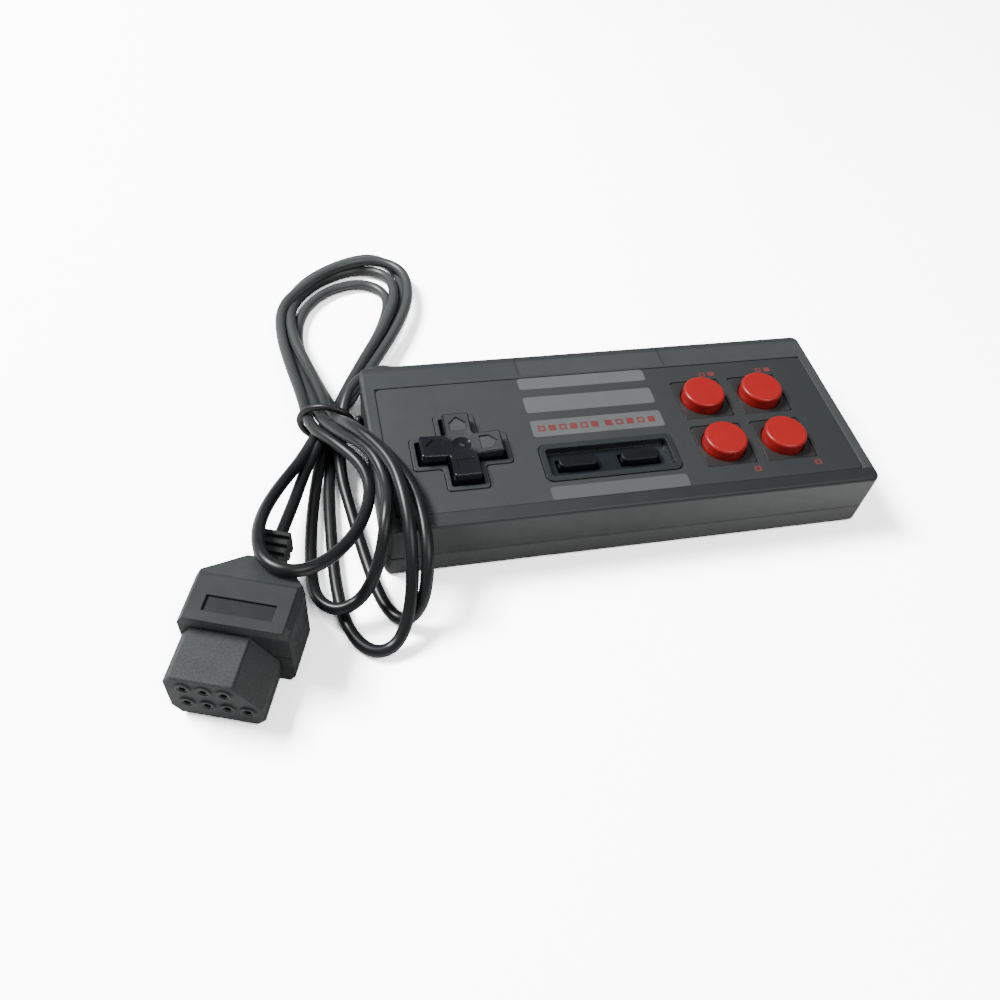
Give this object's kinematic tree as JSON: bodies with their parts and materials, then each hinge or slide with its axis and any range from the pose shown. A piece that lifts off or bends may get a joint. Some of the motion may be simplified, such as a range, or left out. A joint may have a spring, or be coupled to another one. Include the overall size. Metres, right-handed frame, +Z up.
{
  "type": "wired game controller",
  "caption": "Rectangular wired game controller with a directional pad, round buttons and small keys; its thin cord is tied in a figure-eight hank and ends in a keyed plug.",
  "frame": {"origin": "centre of the controller's underside, on the surface it lies on (measured without the cord and its plug)", "axes": "+X to the player's right along the casing, +Y towards the back edge where the cord leaves, +Z up through the buttons"},
  "size_m": [0.1699, 0.1497, 0.0241],
  "materials": {
    "smoked_plastic": "satin smoked plastic",
    "label_grey": "matte print film",
    "black_gloss": "polished",
    "button_red": "satin",
    "grey_rubber": "silicone",
    "black_rubber": "satin",
    "carbon": "matte",
    "steel": "zinc plated",
    "board_green": "solder mask",
    "black_resin": "cast resin",
    "capacitor_blue": "sleeve",
    "core_colours": "coloured insulation",
    "solder": "bright",
    "plug_grey": "fine grain",
    "contact_brass": "plated",
    "tie_black": "plastic coated wire",
    "cord_black": "satin vinyl"
  },
  "bodies": {
    "controller": {"board_contacts": "carbon", "bottom_casing": "smoked_plastic", "button_a_dome": "grey_rubber", "button_b_dome": "grey_rubber", "button_rubber": "grey_rubber", "button_turbo_a_dome": "grey_rubber", "button_turbo_b_dome": "grey_rubber", "capacitor": "capacitor_blue", "casing_screws": "steel", "chip_resin": "black_resin", "circuit_board": "board_green", "cord_controller_lead": "cord_black", "cord_front_loops": "cord_black", "cord_gland": "black_rubber", "cord_inside": "cord_black", "cord_loop_over_plug": "cord_black", "cord_plug_lead": "cord_black", "cord_rear_loops": "cord_black", "cord_waist": "cord_black", "core_wires": "core_colours", "directional_pad_rubber": "grey_rubber", "key_rubber": "grey_rubber", "label_plate": "label_grey", "plug_contacts": "contact_brass", "plug_lower_shell": "plug_grey", "plug_nose": "plug_grey", "plug_screws": "steel", "plug_strain_relief": "black_rubber", "plug_upper_shell": "plug_grey", "resistors": "black_resin", "select_key_dome": "grey_rubber", "solder_joints": "solder", "start_key_dome": "grey_rubber", "top_casing": "smoked_plastic", "wire_tie": "tie_black"},
    "button_a": {"button_a": "button_red", "button_a_pill": "carbon"},
    "button_b": {"button_b": "button_red", "button_b_pill": "carbon"},
    "button_turbo_a": {"button_turbo_a": "button_red", "button_turbo_a_pill": "carbon"},
    "button_turbo_b": {"button_turbo_b": "button_red", "button_turbo_b_pill": "carbon"},
    "select_key": {"select_key": "black_rubber", "select_key_pill": "carbon"},
    "start_key": {"start_key": "black_rubber", "start_key_pill": "carbon"},
    "rocker": {"pivot_ball": "black_gloss"},
    "directional_pad": {"directional_pad": "black_gloss"}
  },
  "joints": [
    {"name": "pad_rock_up_down", "type": "hinge", "parent": "controller", "child": "rocker", "pos_m": [-0.0405, -0.0049, 0.009], "axis": [1, 0, 0], "range_deg": [-3.2, 3.2], "stiffness_Nm_per_rad": 0.12},
    {"name": "pad_rock_left_right", "type": "hinge", "parent": "rocker", "child": "directional_pad", "pos_m": [-0.0405, -0.0049, 0.009], "axis": [0, 1, 0], "range_deg": [-3.2, 3.2], "stiffness_Nm_per_rad": 0.12},
    {"name": "button_a_press", "type": "slide", "parent": "controller", "child": "button_a", "axis": [0, 0, -1], "range_m": [0, 0.0014], "stiffness_N_per_m": 500, "springref_m": -0.0005, "deforming": ["button_a_dome"]},
    {"name": "button_b_press", "type": "slide", "parent": "controller", "child": "button_b", "axis": [0, 0, -1], "range_m": [0, 0.0014], "stiffness_N_per_m": 500, "springref_m": -0.0005, "deforming": ["button_b_dome"]},
    {"name": "button_turbo_a_press", "type": "slide", "parent": "controller", "child": "button_turbo_a", "axis": [0, 0, -1], "range_m": [0, 0.0014], "stiffness_N_per_m": 500, "springref_m": -0.0005, "deforming": ["button_turbo_a_dome"]},
    {"name": "button_turbo_b_press", "type": "slide", "parent": "controller", "child": "button_turbo_b", "axis": [0, 0, -1], "range_m": [0, 0.0014], "stiffness_N_per_m": 500, "springref_m": -0.0005, "deforming": ["button_turbo_b_dome"]},
    {"name": "select_key_press", "type": "slide", "parent": "controller", "child": "select_key", "axis": [0, 0, -1], "range_m": [0, 0.0009], "stiffness_N_per_m": 500, "springref_m": -0.0005, "deforming": ["select_key_dome"]},
    {"name": "start_key_press", "type": "slide", "parent": "controller", "child": "start_key", "axis": [0, 0, -1], "range_m": [0, 0.0009], "stiffness_N_per_m": 500, "springref_m": -0.0005, "deforming": ["start_key_dome"]}
  ]
}
